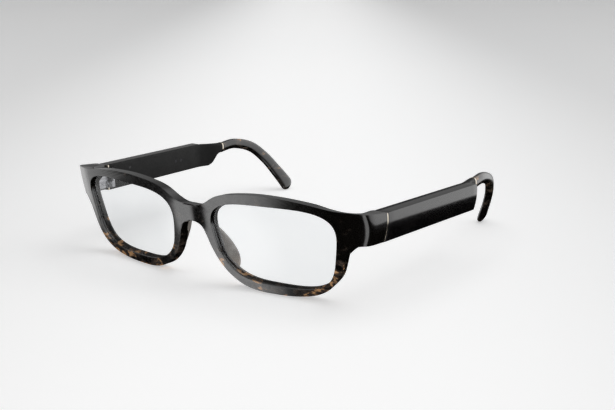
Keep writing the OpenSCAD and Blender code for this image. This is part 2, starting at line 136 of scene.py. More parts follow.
def along(pts, x):
    """The values after the first of the rows pts at x, which is their first value."""
    for a, b in zip(pts, pts[1:]):
        if x <= b[0] or b is pts[-1]:
            t = (x - a[0]) / (b[0] - a[0])
            return [p + (q - p) * t for p, q in zip(a[1:], b[1:])]


def sharpen(value, power):
    return math.copysign(abs(value) ** power, value)


def ease(t):
    t = min(max(t, 0.0), 1.0)
    return t * t * (3 - 2 * t)


# ---- frames ----
def front_place(side):
    """From the leaning front's frame to the world."""
    place = Matrix.Translation((0, FRONT_Y, LEAN_Z)) @ Matrix.Rotation(TILT, 4, "X")
    return Matrix.Diagonal((side, 1, 1, 1)) @ place


def temple_place(side):
    """From a temple's frame to the world."""
    turn = Matrix.Rotation(-SPLAY, 4, "Z") @ Matrix.Rotation(-PITCH, 4, "X")
    return Matrix.Diagonal((side, 1, 1, 1)) @ Matrix.Translation(JOINT) @ turn


def hinge_place(side):
    """From a hinge's frame, at the foot of its pin, to the world."""
    foot = Matrix.Translation((JOINT.x, JOINT.y, HINGE_Z)) @ Matrix.Rotation(-SPLAY, 4, "Z")
    pin = Matrix.Translation((PIN_X, PIN_Y, 0))
    return Matrix.Diagonal((side, 1, 1, 1)) @ foot @ pin


# ---- meshes ----
def mesh_object(name, verts, faces, place, side=1):
    """A mesh object in metres. A mirrored place (side -1) gets its faces turned back."""
    data = bpy.data.meshes.new(name)
    flat = [tuple((place @ Vector(v)) * MM) for v in verts]
    turned = faces if side > 0 else [tuple(reversed(f)) for f in faces]
    data.from_pydata(flat, [], turned)
    data.validate()
    obj = bpy.data.objects.new(name, data)
    bpy.context.scene.collection.objects.link(obj)
    return obj


def grid_faces(rows, cols, closed=True, start=0):
    """Quads between rows of cols points each; closed joins the last column to the first."""
    out = []
    for i in range(rows - 1):
        for j in range(cols if closed else cols - 1):
            a, b = start + i * cols + j, start + i * cols + (j + 1) % cols
            out.append((a, b, b + cols, a + cols))
    return out


def loft(name, rings, place, side=1, hoop=False):
    """A solid through rings of points; hoop joins the last ring to the first instead of caps."""
    m = len(rings[0])
    verts = [v for ring in rings for v in ring]
    faces = grid_faces(len(rings), m)
    if hoop:
        last = (len(rings) - 1) * m
        faces += [(last + j, last + (j + 1) % m, (j + 1) % m, j) for j in range(m)]
    else:
        faces.append(tuple(reversed(range(m))))
        faces.append(tuple(range((len(rings) - 1) * m, len(rings) * m)))
    return mesh_object(name, verts, faces, place, side)


def applied(obj):
    """obj with its modifiers made part of its mesh."""
    graph = bpy.context.evaluated_depsgraph_get()
    data = bpy.data.meshes.new_from_object(obj.evaluated_get(graph))
    old = obj.data
    obj.modifiers.clear()
    obj.data = data
    bpy.data.meshes.remove(old)
    return obj


def subdivided(obj, levels):
    sub = obj.modifiers.new("sub", "SUBSURF")
    sub.levels = sub.render_levels = levels
    return applied(obj)


def shaded(obj, sharp_deg=40):
    """Smooth shading with crisp edges where faces meet at more than sharp_deg."""
    bm = bmesh.new()
    bm.from_mesh(obj.data)
    bmesh.ops.recalc_face_normals(bm, faces=bm.faces)
    for face in bm.faces:
        face.smooth = True
    for edge in bm.edges:
        edge.smooth = edge.calc_face_angle(0.0) < math.radians(sharp_deg)
    bm.to_mesh(obj.data)
    bm.free()
    return obj


def cut(obj, cutters):
    """Takes closed cutter objects out of obj, then removes them."""
    for cutter in cutters:
        mod = obj.modifiers.new("cut", "BOOLEAN")
        mod.object = cutter
        mod.solver = "EXACT"
    applied(obj)
    for cutter in cutters:
        data = cutter.data
        bpy.data.objects.remove(cutter)
        bpy.data.meshes.remove(data)
    return obj


def box_cutter(low, high, place, side):
    x, y, z = zip(low, high)
    ring = [(x[0], z[0]), (x[1], z[0]), (x[1], z[1]), (x[0], z[1])]
    rings = [[(px, py, pz) for px, pz in ring] for py in y]
    return shaded(loft("cutter", rings, place, side), 10)


def round_cutter(centre, axis, radius, length, place, side, count=32):
    """A rod from centre along +X, +Y or +Z of the place."""
    rings = []
    for run in (0, length):
        ring = []
        for j in range(count):
            a = 2 * math.pi * j / count
            c, s = radius * math.cos(a), radius * math.sin(a)
            off = {"X": (run, c, s), "Y": (c, run, s), "Z": (c, s, run)}[axis]
            ring.append(tuple(p + q for p, q in zip(centre, off)))
        rings.append(ring)
    return shaded(loft("cutter", rings, place, side), 10)


def finish_piece(obj, body, replaced, material, sharp_deg=40):
    """Shades a piece, gives it its look and fixes it to its body."""
    shaded(obj, sharp_deg)
    obj.data.materials.clear()
    obj.data.materials.append(material)
    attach(obj, body)
    if replaced:
        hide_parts(*replaced)
    return obj


# ---- materials ----
class Look:
    """A node material with one Principled shader and short helpers for its patterns."""

    def __init__(self, name, **sockets):
        self.material = bpy.data.materials.new(name)
        self.material.use_nodes = True
        self.tree = self.material.node_tree
        self.shader = self.tree.nodes["Principled BSDF"]
        for key, value in sockets.items():
            self.shader.inputs[key.replace("_", " ")].default_value = value
        coords = self.tree.nodes.new("ShaderNodeTexCoord")
        self.place = coords.outputs["Object"]

    def node(self, kind, **values):
        made = self.tree.nodes.new(kind)
        for key, value in values.items():
            setattr(made, key, value)
        return made

    def link(self, source, target):
        self.tree.links.new(source, target)

    def stretched(self, scale):
        """Object coordinates stretched by a scale for each axis."""
        mapping = self.node("ShaderNodeMapping")
        mapping.inputs["Scale"].default_value = scale
        self.link(self.place, mapping.inputs["Vector"])
        return mapping.outputs["Vector"]

    def noise(self, scale, detail=3.0, vector=None, distortion=0.0, rough=0.5):
        made = self.node("ShaderNodeTexNoise")
        made.inputs["Scale"].default_value = scale
        made.inputs["Detail"].default_value = detail
        made.inputs["Distortion"].default_value = distortion
        made.inputs["Roughness"].default_value = rough
        self.link(vector or self.place, made.inputs["Vector"])
        return made.outputs["Fac"]

    def ranged(self, value, low, high, out_low=0.0, out_high=1.0):
        """value, mapped so that low gives out_low and high gives out_high, and held between."""
        made = self.node("ShaderNodeMapRange", interpolation_type="SMOOTHSTEP")
        made.inputs["From Min"].default_value = low
        made.inputs["From Max"].default_value = high
        made.inputs["To Min"].default_value = out_low
        made.inputs["To Max"].default_value = out_high
        self.link(value, made.inputs["Value"])
        return made.outputs["Result"]

    def math(self, operation, first, second):
        made = self.node("ShaderNodeMath", operation=operation)
        for socket, value in zip(made.inputs, (first, second)):
            if isinstance(value, (int, float)):
                socket.default_value = value
            else:
                self.link(value, socket)
        return made.outputs[0]

    def mixed(self, factor, first, second):
        """A colour between two colours, each a tuple or a socket."""
        made = self.node("ShaderNodeMix", data_type="RGBA")
        self.link(factor, made.inputs["Factor"])
        colour_inputs = [s for s in made.inputs if s.type == "RGBA"]
        for socket, value in zip(colour_inputs, (first, second)):
            if isinstance(value, tuple):
                socket.default_value = (*value, 1.0)
            else:
                self.link(value, socket)
        return [s for s in made.outputs if s.type == "RGBA"][0]

    def height(self):
        """The height over the floor, in metres."""
        split = self.node("ShaderNodeSeparateXYZ")
        self.link(self.place, split.inputs[0])
        return split.outputs["Z"]

    def colour(self, socket):
        self.link(socket, self.shader.inputs["Base Color"])

    def roughness(self, socket):
        self.link(socket, self.shader.inputs["Roughness"])

    def bump(self, height, strength, distance):
        made = self.node("ShaderNodeBump")
        made.inputs["Strength"].default_value = strength
        made.inputs["Distance"].default_value = distance
        self.link(height, made.inputs["Height"])
        self.link(made.outputs["Normal"], self.shader.inputs["Normal"])


def tortoise(name, amber_from, amber_to, least, most):
    """Polished dark tortoise. Amber shows in least of the surface over the height amber_from
    and grows to most at amber_to."""
    look = Look(name, Roughness=0.2, Coat_Weight=1.0, Coat_Roughness=0.03, IOR=1.5)
    streaks = look.stretched((1.0, 0.7, 1.6))
    broad = look.noise(165, 2.0, streaks, 0.8)
    fine = look.noise(560, 4.0, streaks, 0.6)
    pattern = look.math("ADD", look.math("MULTIPLY", broad, 0.8), look.math("MULTIPLY", fine, 0.2))
    rise = look.ranged(look.height(), amber_to, amber_from, most, least)
    level = look.math("ADD", pattern, rise)
    brown = look.ranged(level, 0.5, 0.64)
    amber = look.ranged(level, 0.62, 0.69)
    glow = look.ranged(level, 0.70, 0.78)
    dark = look.mixed(brown, (0.004, 0.0035, 0.003), (0.062, 0.046, 0.036))
    warm = look.mixed(amber, dark, (0.60, 0.33, 0.15))
    look.colour(look.mixed(glow, warm, (0.78, 0.50, 0.27)))
    wear = look.noise(900, 3.0)
    look.roughness(look.ranged(wear, 0.3, 0.75, 0.14, 0.27))
    look.bump(look.noise(260, 1.0), 0.05, 0.0004)
    return look.material


def smoky(name):
    """Polished, slightly clear grey-brown plastic for the pads."""
    look = Look(name, Roughness=0.15, Coat_Weight=0.8, Coat_Roughness=0.04, IOR=1.5)
    cloud = look.noise(180, 3.0, look.stretched((1, 0.7, 1.5)), 0.7)
    tone = look.ranged(cloud, 0.35, 0.68)
    grey = look.mixed(tone, (0.24, 0.215, 0.195), (0.34, 0.31, 0.28))
    low_end = look.ranged(look.height(), 0.013, 0.005)
    look.colour(look.mixed(low_end, grey, (0.56, 0.45, 0.37)))
    look.roughness(look.ranged(look.noise(120, 1.0), 0.3, 0.7, 0.24, 0.3))
    return look.material


def gloss_black(name):
    """Polished black plastic with faint scuffs along it."""
    look = Look(name, Roughness=0.2, Coat_Weight=1.0, Coat_Roughness=0.02, IOR=1.5)
    flow = look.ranged(look.noise(140, 3.0), 0.3, 0.7)
    look.colour(look.mixed(flow, (0.0035, 0.0035, 0.0038), (0.0065, 0.006, 0.006)))
    scuffs = look.noise(2200, 3.0, look.stretched((1, 0.12, 1)))
    look.roughness(look.ranged(scuffs, 0.4, 0.75, 0.12, 0.24))
    look.bump(look.noise(380, 1.0), 0.03, 0.0003)
    return look.material


def satin_black(name, grain=5200, depth=0.35):
    """Fine-grained satin plastic."""
    look = Look(name, Roughness=0.45, IOR=1.46)
    flow = look.ranged(look.noise(170, 3.0), 0.3, 0.7)
    look.shader.inputs["Specular IOR Level"].default_value = 0.3
    look.colour(look.mixed(flow, (0.004, 0.004, 0.004), (0.008, 0.0078, 0.0075)))
    look.roughness(look.ranged(look.noise(900, 4.0), 0.35, 0.7, 0.38, 0.52))
    look.bump(look.noise(grain, 2.0), depth, 0.00004)
    return look.material


def metal(name, colour, worn, roughness, stretch):
    """Brushed metal: stretch makes the brush marks run along the axis with the least value."""
    look = Look(name, Metallic=1.0, Roughness=roughness)
    marks = look.noise(1600, 3.0, look.stretched(stretch))
    look.colour(look.mixed(look.ranged(marks, 0.3, 0.7), colour, worn))
    look.roughness(look.ranged(marks, 0.3, 0.72, roughness * 0.75, roughness * 1.4))
    look.bump(marks, 0.12, 0.00003)
    return look.material


def moulded(name, dark, light, roughness, scale, coat=0.0):
    """A plain moulded or printed surface with mottling of its own."""
    look = Look(name, Roughness=roughness, Coat_Weight=coat)
    cloud = look.noise(scale, 4.0)
    look.colour(look.mixed(look.ranged(cloud, 0.35, 0.65), dark, light))
    look.roughness(look.ranged(cloud, 0.3, 0.7, roughness * 0.8, roughness * 1.2))
    look.bump(look.noise(scale * 6, 2.0), 0.2, 0.00004)
    return look.material


def board_green(name):
    """Solder mask with traces and gold pads."""
    look = Look(name, Roughness=0.35, Coat_Weight=0.4)
    bricks = look.node("ShaderNodeTexBrick")
    bricks.inputs["Scale"].default_value = 900
    bricks.inputs["Mortar Size"].default_value = 0.06
    look.link(look.stretched((1, 1, 1)), bricks.inputs["Vector"])
    bricks.inputs["Color1"].default_value = (0.008, 0.075, 0.035, 1)
    bricks.inputs["Color2"].default_value = (0.010, 0.095, 0.045, 1)
    bricks.inputs["Mortar"].default_value = (0.02, 0.16, 0.08, 1)
    dots = look.node("ShaderNodeTexVoronoi")
    dots.inputs["Scale"].default_value = 620
    look.link(look.place, dots.inputs["Vector"])
    pad = look.ranged(dots.outputs["Distance"], 0.17, 0.13)
    look.colour(look.mixed(pad, bricks.outputs["Color"], (0.7, 0.5, 0.16)))
    look.bump(bricks.outputs["Fac"], 0.2, 0.00003)
    return look.material


def woven_mesh(name):
    """Fine dark metal cloth."""
    look = Look(name, Metallic=1.0, Roughness=0.4)
    holes = look.node("ShaderNodeTexVoronoi")
    holes.inputs["Scale"].default_value = 3600
    holes.inputs["Randomness"].default_value = 0.0
    look.link(look.place, holes.inputs["Vector"])
    open_part = look.ranged(holes.outputs["Distance"], 0.2, 0.32)
    look.colour(look.mixed(open_part, (0.004, 0.004, 0.004), (0.22, 0.22, 0.23)))
    look.bump(holes.outputs["Distance"], 0.6, 0.00008)
    return look.material


def lens_clear(name):
    """Thin clear lens: see-through, with a smooth mirror by Fresnel on top."""
    look = Look(name)
    tree = look.tree
    tree.nodes.remove(look.shader)
    clear = look.node("ShaderNodeBsdfTransparent")
    shine = look.node("ShaderNodeBsdfGlossy")
    tint = look.ranged(look.noise(60, 1.0), 0.2, 0.8)
    look.link(look.mixed(tint, (0.968, 0.976, 0.980), (0.976, 0.982, 0.984)), clear.inputs[0])
    shine.inputs["Roughness"].default_value = 0.01
    fresnel = look.node("ShaderNodeFresnel")
    fresnel.inputs["IOR"].default_value = 1.42
    sides = look.node("ShaderNodeNewGeometry")
    outside = look.math("SUBTRACT", 1.0, sides.outputs["Backfacing"])
    blend = look.node("ShaderNodeMixShader")
    look.link(look.math("MULTIPLY", fresnel.outputs[0], outside), blend.inputs[0])
    look.link(clear.outputs[0], blend.inputs[1])
    look.link(shine.outputs[0], blend.inputs[2])
    out = tree.nodes["Material Output"]
    look.link(blend.outputs[0], out.inputs["Surface"])
    return look.material


ACETATE = tortoise("acetate_tortoise", 0.024, 0.010, -0.09, 0.07)
TIP = tortoise("tip_tortoise", 0.027, 0.037, -0.02, 0.06)
PAD = smoky("pad_smoky")
GLOSS = gloss_black("shell_gloss_black")
SATIN = satin_black("cover_satin_black")
CHAMPAGNE = metal("trim_champagne", (0.92, 0.85, 0.74), (0.8, 0.71, 0.58), 0.14, (1, 1, 0.06))
LENS = lens_clear("lens_clear")

SLOT_LOOKS = {
    "hinge_steel": metal("hinge_steel",
                         (0.60, 0.60, 0.62), (0.42, 0.42, 0.44), 0.28, (1, 0.08, 1)),
    "screw_steel": metal("screw_steel", (0.52, 0.52, 0.54), (0.36, 0.36, 0.38), 0.25, (1, 1, 1)),
    "trim_metal": CHAMPAGNE,
    "wire_steel": metal("wire_steel", (0.6, 0.6, 0.62), (0.45, 0.45, 0.47), 0.3, (1, 0.1, 1)),
    "can_metal": metal("can_metal", (0.68, 0.68, 0.69), (0.5, 0.5, 0.52), 0.32, (0.1, 1, 1)),
    "gold": metal("microphone_gold", (0.86, 0.62, 0.26), (0.68, 0.47, 0.18), 0.22, (1, 1, 1)),
    "contact_black": metal("contact_black_nickel",
                           (0.05, 0.05, 0.053), (0.03, 0.03, 0.032), 0.3, (1, 1, 1)),
    "battery_foil": metal("battery_foil", (0.7, 0.71, 0.74), (0.55, 0.56, 0.6), 0.38, (1, 1, 1)),
    "mesh_steel": woven_mesh("mesh_steel"),
    "board": board_green("board_green"),
    "speaker": moulded("speaker_black", (0.012, 0.012, 0.013), (0.03, 0.03, 0.032), 0.5, 500),
    "flex": moulded("flex_amber", (0.42, 0.16, 0.03), (0.6, 0.27, 0.06), 0.3, 300, 0.5),
    "light_window": moulded("light_window", (0.01, 0.01, 0.011), (0.02, 0.02, 0.022), 0.3, 900),
    "button": satin_black("button_black", 4200, 0.3),
    "pad": PAD,
    "lens": LENS,
    "acetate": ACETATE,
    "tip_acetate": TIP,
    "shell_gloss": GLOSS,
    "cover_satin": SATIN,
}
slot_of = {row["node"]: row["material_slot"] for row in frame["record"]["subparts"]}
for node_name, node_object in nodes.items():
    node_object.data.materials.clear()
    node_object.data.materials.append(SLOT_LOOKS[slot_of[node_name]])


# ---- the front ----
def opening(grow, count):
    """A lens opening in the front view, grown by grow, anticlockwise from the temple side."""
    out = []
    for i in range(count):
        a = 2 * math.pi * i / count
        c, s = math.cos(a), math.sin(a)
        power = 2 / (3.32 + 0.32 * c + 0.08 * s - 0.1 * math.sin(2 * a))
        u, v = sharpen(c, power), sharpen(s, power)
        lean = v * (2.6 * (1 + u) - 3 * (1 - u)) / 2
        lift = u * (0.67 * (1 + v) - 0.17 * (1 - v)) / 2 - 0.35 * (1 - u * u) * (1 + v) / 2
        out.append((
            LENS_X + (LENS_HALF_W + grow) * u + lean, LENS_Z + (LENS_HALF_H + grow) * v + lift
        ))
    return out


# Plan of the front's skin, in the leaning frame, as rows of (run, outer x, outer depth,
# inner x, inner depth). The run is x up to 60 and then the way round the corner and
# back along the end piece's side, which ends at END_RUN.
END_RUN = 88.0
SEAM_TOP, SEAM_LOW = 65.0, 70.2


def sheet_depth(x):
    return FRONT_R - math.sqrt(FRONT_R ** 2 - x * x)


PLAN = [(x, x, sheet_depth(x), x * (1 - RIM_T / FRONT_R), sheet_depth(x) + RIM_T)
        for x in range(0, 61, 4)]
PLAN += [
    (62.5, 62.5, 7.15, 62.0, 12.0),
    (65.0, 65.0, 8.05, 64.2, 12.6),
    (67.5, 67.5, 9.25, 66.0, 13.5),
    (70.0, 69.9, 10.45, 67.3, 14.7),
    (72.0, 71.8, 11.45, 68.2, 16.1),
    (73.6, 73.1, 12.3, 68.7, 17.3),
    (75.0, 74.0, 13.3, 68.9, 18.3),
    (76.2, 74.5, 14.5, 69.05, 19.2),
    (77.6, 74.65, 15.9, 69.15, 20.1),
    (END_RUN, 75.25, 26.0, 69.75, 26.0),
]


# How much lower the inner edge of the front's top is than the outer one, by run
TOP_SLOPE = [(0, 0), (9, 0.3), (20, 0.5), (40, 0.4), (55, 0.3), (63, 1.0), (74, 1.0), (81, 0.1),
             (END_RUN, 0)]


def skin_point(run, z, depth):
    """World point, in mm, of the front at a run, a front view height and a share of its
    depth, 0 on the outer skin and 1 on the inner one. The way through runs level, but the
    top slopes a little."""
    xo, yo, xi, yi = along(PLAN, min(max(run, 0.0), END_RUN))
    side_share = ease((run - 71) / 5)
    up = (z - LEAN_Z - yo * math.sin(TILT)) / math.cos(TILT)
    x, y = xo + (xi - xo) * depth, yo + (yi - yo) * depth
    if run < 7.5:
        y += 0.8 * (math.cos(math.pi * run / 15) * (1 - depth)) ** 2
    world = front_place(1) @ Vector((x, y, up))
    world.z -= (yi - yo) * depth * math.sin(TILT)
    world.z -= along(TOP_SLOPE, min(run, END_RUN))[0] * depth * ease((z - 29) / 6)
    below = z - (LEAN_Z + 0.4) - CREST_Z
    world.x -= side_share * (1 - depth) * (below ** 2 / (2 * CREST_R))
    return world


def half_outlines():
    """Outer outline of one rim block and the rails of its end piece, in (run, z)."""
    top = smooth(HALF_TOP, 8)
    low = smooth(HALF_LOW, 8)
    rim_top = [p for p in top if 0 <= p[0] < SEAM_TOP] + [(SEAM_TOP, along(top, SEAM_TOP)[0])]
    ledge = sorted(p for p in low if p[0] > 66.5)
    low_start = (SEAM_LOW, along(ledge, SEAM_LOW)[0])
    return rim_top, [low_start] + [p for p in low if p[0] < SEAM_LOW]


def blocks_of_front():
    """Grid of one half of the front: rows of points from the lens opening outwards, in
    (run, z), all the way round, then the end piece's rows from its seam to the joint."""
    rim_top, rim_low = half_outlines()
    counts = {"bridge": 8, "top": 52, "seam": 10, "low": 74}
    bridge = spaced([(0.0, 25.3), (0.0, 32.4)], counts["bridge"])
    seam = spaced([rim_top[-1], rim_low[0]], counts["seam"])
    outer = (bridge[:-1] + spaced(rim_top, counts["top"])[:-1] + seam[:-1]
             + spaced(rim_low, counts["low"])[:-1])
    total = len(outer)
    fine = opening(0, 720)
    wide = opening(GROOVE_D, 720)
    # where each stretch of the outline starts on the opening, as a share of a full turn
    # counted clockwise in the front view from the bridge
    marks = [(172.5, 0), (148, counts["bridge"]),
             (18, counts["bridge"] + counts["top"]),
             (-6, counts["bridge"] + counts["top"] + counts["seam"]),
             (172.5 - 360, total)]
    inner, groove = [], []
    for k in range(total):
        for (a0, k0), (a1, k1) in zip(marks, marks[1:]):
            if k0 <= k < k1:
                angle = a0 + (a1 - a0) * (k - k0) / (k1 - k0)
                break
        index = round(angle * 2) % 720
        inner.append(fine[index])
        groove.append(wide[index])
    return inner, groove, outer, seam, counts


RUN_MARKS = [66.6, 68.4, 70.4, 72.2, 73.7, 75.0, 76.3, 77.8, 79.8, 82.4, 85.0, 87.2]
END_TOP = [(65, 37.6), (71, 37.05), (76, 36.6), (END_RUN, 35.1)]
END_LOW = [(65, 24.2), (70, 24.2), (72, 24.4), (76, 24.3), (END_RUN, 23.45)]


def end_piece_point(seam, j, i):
    """End piece point of row j (top to bottom) and column i past the seam, in (run, z)."""
    run = max(RUN_MARKS[i], seam[j][0] + 0.4 * (i + 1))
    top_z, low_z = along(END_TOP, run)[0], along(END_LOW, run)[0]
    share = j / (len(seam) - 1)
    if i < 3:
        seam_share = (seam[0][1] - seam[j][1]) / (seam[0][1] - seam[-1][1])
        share = seam_share + (share - seam_share) * (i + 1) / 4
    return (run, top_z + (low_z - top_z) * share)


def on_joint(point):
    """point slid along the temple onto the joint's plane."""
    joint = temple_place(1)
    local = joint.inverted() @ point
    local.y = -(PLATE_T + JOINT_GAP)
    return joint @ local


def build_front():
    """The one-piece front, as one mesh with rounded edges and the lens grooves."""
    inner, groove, outer, seam, counts = blocks_of_front()
    total = len(outer)
    shares = (0.0, 0.3, 0.65, 1.0)
    walls = (0.0, 0.22, 0.5, 0.78, 1.0)
    last = len(shares) - 1
    end = len(RUN_MARKS) - 1
    n_seam = counts["seam"]
    seam_from = counts["bridge"] + counts["top"]
    bm = bmesh.new()
    soft = bm.edges.layers.float.new("bevel_weight_edge")
    grid = {}

    def vert(key, point):
        if key not in grid:
            grid[key] = bm.verts.new(point * MM)
        return grid[key]

    def mixed(a, b, t):
        return (a[0] + (b[0] - a[0]) * t, a[1] + (b[1] - a[1]) * t)

    def rail(j, i):
        return end_piece_point(seam, j, i)

    for depth in (0.0, 1.0):
        for k in range(total):
            for r, t in enumerate(shares):
                run, z = mixed(inner[k], outer[k], t)
                vert(("face", depth, k, r), skin_point(run, z, depth))
        for j in range(n_seam + 1):
            for i in range(len(RUN_MARKS)):
                point = skin_point(*rail(j, i), depth)
                if i == end:
                    point = on_joint(point)
                vert(("leg", depth, j, i), point)

    def face_key(depth, k, r):
        return grid[("face", depth, k % total, r)]

    def leg_key(depth, j, i):
        if i < 0:
            return grid[("face", depth, (seam_from + j) % total, last)]
        return grid[("leg", depth, j, i)]

    for depth in (0.0, 1.0):
        for k in range(total):
            for r in range(last):
                bm.faces.new((
                    face_key(depth, k, r), face_key(depth, k + 1, r),
                    face_key(depth, k + 1, r + 1), face_key(depth, k, r + 1),
                ))
        for j in range(n_seam):
            for i in range(len(RUN_MARKS)):
                bm.faces.new((
                    leg_key(depth, j, i - 1), leg_key(depth, j + 1, i - 1),
                    leg_key(depth, j + 1, i), leg_key(depth, j, i),
                ))

    def wall(key, points_of):
        """A wall's columns: the points from the outer skin to the inner one."""
        column = []
        for w, point in points_of:
            if w == 0.0 or w == 1.0:
                column.append(point)
            else:
                column.append(vert((key, w), point))
        return column

    def strip(columns, closed):
        pairs = zip(columns, columns[1:] + columns[:1]) if closed else zip(columns, columns[1:])
        for a, b in pairs:
            for i in range(len(a) - 1):
                bm.faces.new((a[i], b[i], b[i + 1], a[i + 1]))

    # lens opening wall with its groove
    lip0 = RIM_T / 2 - 1.03
    lips = [(lip0 / RIM_T, 0), (lip0 / RIM_T + 0.02, 1), (1 - lip0 / RIM_T - 0.02, 1),
            (1 - lip0 / RIM_T, 0)]
    columns = []
    for k in range(total):
        points = [(0.0, face_key(0.0, k, 0))]
        for w, deep in lips:
            source = groove[k] if deep else inner[k]
            points.append((w, skin_point(*source, w)))
        points.append((1.0, face_key(1.0, k, 0)))
        columns.append(wall(("lens", k), points))
    strip(columns, True)

    # outer wall: rim top, end piece top, end, end piece bottom, rim bottom
    path = []
    for k in range(counts["bridge"], seam_from):
        path.append((("out", k), outer[k], face_key(0.0, k, last), face_key(1.0, k, last)))
    path.append((("out", seam_from), seam[0], leg_key(0.0, 0, -1), leg_key(1.0, 0, -1)))
    for i in range(len(RUN_MARKS)):
        path.append((("legtop", i), rail(0, i), leg_key(0.0, 0, i), leg_key(1.0, 0, i)))
    for j in range(1, n_seam + 1):
        path.append((("legend", j), rail(j, end), leg_key(0.0, j, end), leg_key(1.0, j, end)))
    for i in range(end - 1, -1, -1):
        path.append((("leglow", i), rail(n_seam, i), leg_key(0.0, n_seam, i),
                     leg_key(1.0, n_seam, i)))
    for k in range(seam_from + n_seam, total + 1):
        path.append((("out", k), outer[k % total], face_key(0.0, k, last),
                     face_key(1.0, k, last)))
    columns = []
    end_keys = {("legtop", end), ("leglow", end)}
    for key, at, first, second in path:
        points = [(0.0, first)]
        for w in walls[1:-1]:
            point = skin_point(*at, w)
            if key[0] == "legend" or key in end_keys:
                point = on_joint(point)
            points.append((w, point))
        points.append((1.0, second))
        columns.append(wall(key, points))
    strip(columns, False)

    # edges that get rounded, by how round they are
    def weigh(keys, value):
        for a, b in zip(keys, keys[1:]):
            edge = bm.edges.get((a, b))
            if edge:
                edge[soft] = value

    bm.edges.index_update()
    for depth, rim_value, lens_value in ((0.0, 0.75, 0.3), (1.0, 0.8, 0.42)):
        ring = [face_key(depth, k, 0) for k in range(total)]
        weigh(ring + ring[:1], lens_value)
        weigh([c[0] if depth == 0 else c[-1] for c in columns], rim_value)
    for depth in (0.0, 1.0):
        weigh([leg_key(depth, j, end) for j in range(n_seam + 1)], 0.1)
    for key in (("legtop", end), ("legend", n_seam)):
        column = [c for (name, *_), c in zip(path, columns) if name == key][0]
        weigh(column, 0.1)

    half = list(bm.verts) + list(bm.edges) + list(bm.faces)
    bmesh.ops.mirror(bm, geom=half, matrix=Matrix.Identity(4), merge_dist=1e-6, axis="X")
    bmesh.ops.remove_doubles(bm, verts=bm.verts, dist=2e-6)
    bmesh.ops.recalc_face_normals(bm, faces=bm.faces)
    data = bpy.data.meshes.new("front_rim")
    bm.to_mesh(data)
    bm.free()
    obj = bpy.data.objects.new("front_rim", data)
    bpy.context.scene.collection.objects.link(obj)
    bevel = obj.modifiers.new("round", "BEVEL")
    bevel.limit_method = "WEIGHT"
    bevel.width = 1.0 * MM
    bevel.segments = 3
    bevel.use_clamp_overlap = True
    applied(obj)
    subdivided(obj, 1)
    return finish_piece(obj, "front", ["front_frame"], ACETATE, 50)


def build_lens(name, side):
    """A meniscus lens whose edge sits in the groove."""
    count, rings = 128, 10
    rim = opening(GROOVE_D - 0.12, count)
    verts = []
    for first in LENS_DEPTHS:
        for r in range(rings, 0, -1):
            share = r / rings
            for x, z in rim:
                px = LENS_X + (x - LENS_X) * share
                pz = LENS_Z + (z - LENS_Z) * share
                depth = (first - LENS_SAG * (1 - share ** 2)) / RIM_T
                verts.append(tuple(skin_point_flat(px, pz, depth)))
        verts.append(tuple(skin_point_flat(LENS_X, LENS_Z, (first - LENS_SAG) / RIM_T)))
    size = rings * count + 1
    faces = []
    for face in (0, 1):
        start = face * size
        sheet = grid_faces(rings, count, True, start)
        tip = start + size - 1
        fan_row = start + (rings - 1) * count
        sheet += [(fan_row + j, fan_row + (j + 1) % count, tip) for j in range(count)]
        faces += sheet if face else [tuple(reversed(f)) for f in sheet]
    faces += [(j, (j + 1) % count, size + (j + 1) % count, size + j) for j in range(count)]
    obj = mesh_object("clear_" + name, verts, faces, Matrix.Diagonal((side, 1, 1, 1)), side)
    return finish_piece(obj, "front", [name], LENS, 60)


def skin_point_flat(x, z, depth):
    """As skin_point, on the plain curved sheet with no hollow or corner."""
    yo = sheet_depth(x)
    up = (z - LEAN_Z - yo * math.sin(TILT)) / math.cos(TILT)
    world = front_place(1) @ Vector((x * (1 - depth * RIM_T / FRONT_R), yo + depth * RIM_T, up))
    world.z -= depth * RIM_T * math.sin(TILT)
    return world


PAD_LINE = [
    (-6, 11), (-2, 10.2), (0.3, 9.2), (1.9, 6.8), (3.1, 3.4), (4, -0.6), (4.4, -4.6),
    (4.1, -8.2), (2.8, -11), (0.4, -13), (-2, -13.8), (-6, -14.4),
]


def build_pad(name, side):
    """A nose pad: a rounded fin that grows out of the rim's back and flares outwards."""
    rise = sorted((z, y) for y, z in smooth(PAD_LINE, 6))
    place = (front_place(side) @ Matrix.Translation((PAD_X, RIM_T, PAD_DROP))
             @ Matrix.Rotation(PAD_LEAN, 4, "Y") @ Matrix.Rotation(PAD_FLARE, 4, "Z"))
    rows, around, back = 30, 28, -1.0
    rings = []
    for i in range(rows + 1):
        z = -12.9 + 22.3 * i / rows
        reach = max(along(rise, z)[0], 0.0)
        end_share = math.sin(math.pi * min(max((i + 0.6) / (rows + 1.2), 0), 1)) ** 0.5
        half = PAD_HALF_T * (0.35 + 0.65 * end_share)
        ring = []
        for j in range(around):
            a = 2 * math.pi * j / around
            x = half * sharpen(math.cos(a), 0.75)
            y = (back + reach) / 2 + (reach - back) / 2 * sharpen(math.sin(a), 0.7)
            ring.append((x, y, z))
        rings.append(ring)
    obj = subdivided(loft("smoky_" + name, rings, place, side), 1)
    return finish_piece(obj, "front", [name], PAD, 60)


